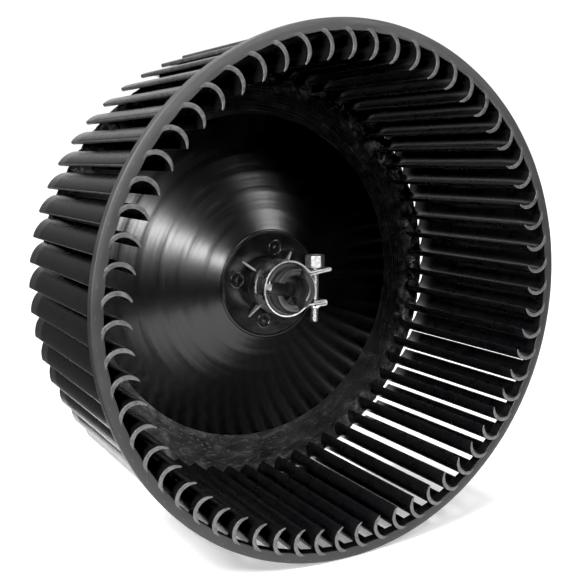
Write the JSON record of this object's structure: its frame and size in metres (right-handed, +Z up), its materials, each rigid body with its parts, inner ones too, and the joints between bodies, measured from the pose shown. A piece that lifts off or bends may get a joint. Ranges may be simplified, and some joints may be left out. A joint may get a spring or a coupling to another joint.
{
  "type": "blower motor wheel",
  "caption": "Forward-curved centrifugal blower wheel in black plastic with a split hub sleeve and a screw-tightened steel clamp for a round motor shaft.",
  "frame": {"origin": "on the spin axis, midway between the inlet ring's face and the motor-side ends of the blades", "axes": "+Y along the spin axis towards the motor side, -Y towards the open inlet, +Z up, +X right seen from the inlet"},
  "size_m": [0.2032, 0.084, 0.2032],
  "materials": {
    "ring_plastic": "satin moulded black",
    "blade_plastic": "semi-gloss moulded black",
    "plate_plastic": "gloss black, scuffed by the weld",
    "gloss_cone": "polished moulded black",
    "hub_plastic": "semi-gloss moulded black",
    "plated_steel": "bright zinc plated strip",
    "screw_steel": "bright zinc plated, turned"
  },
  "bodies": {
    "wheel": {"inlet_ring": "ring_plastic", "fan_blades": "blade_plastic", "back_plate": "plate_plastic", "hub_cone": "gloss_cone", "hub_flange": "hub_plastic", "hub_sleeve": "hub_plastic", "hub_ribs": "hub_plastic"},
    "clamp": {"clamp_band": "plated_steel", "clip_nut": "plated_steel"},
    "screw": {"clamp_screw": "screw_steel"}
  },
  "joints": [
    {"name": "clamp_slide", "type": "slide", "parent": "wheel", "child": "clamp", "axis": [0, -1, 0], "range_m": [0, 0.017]},
    {"name": "screw_turn", "type": "hinge", "parent": "clamp", "child": "screw", "pos_m": [0.0155, 0.0121, 0], "axis": [0, 0, 1], "range_deg": [0, 1080]}
  ]
}
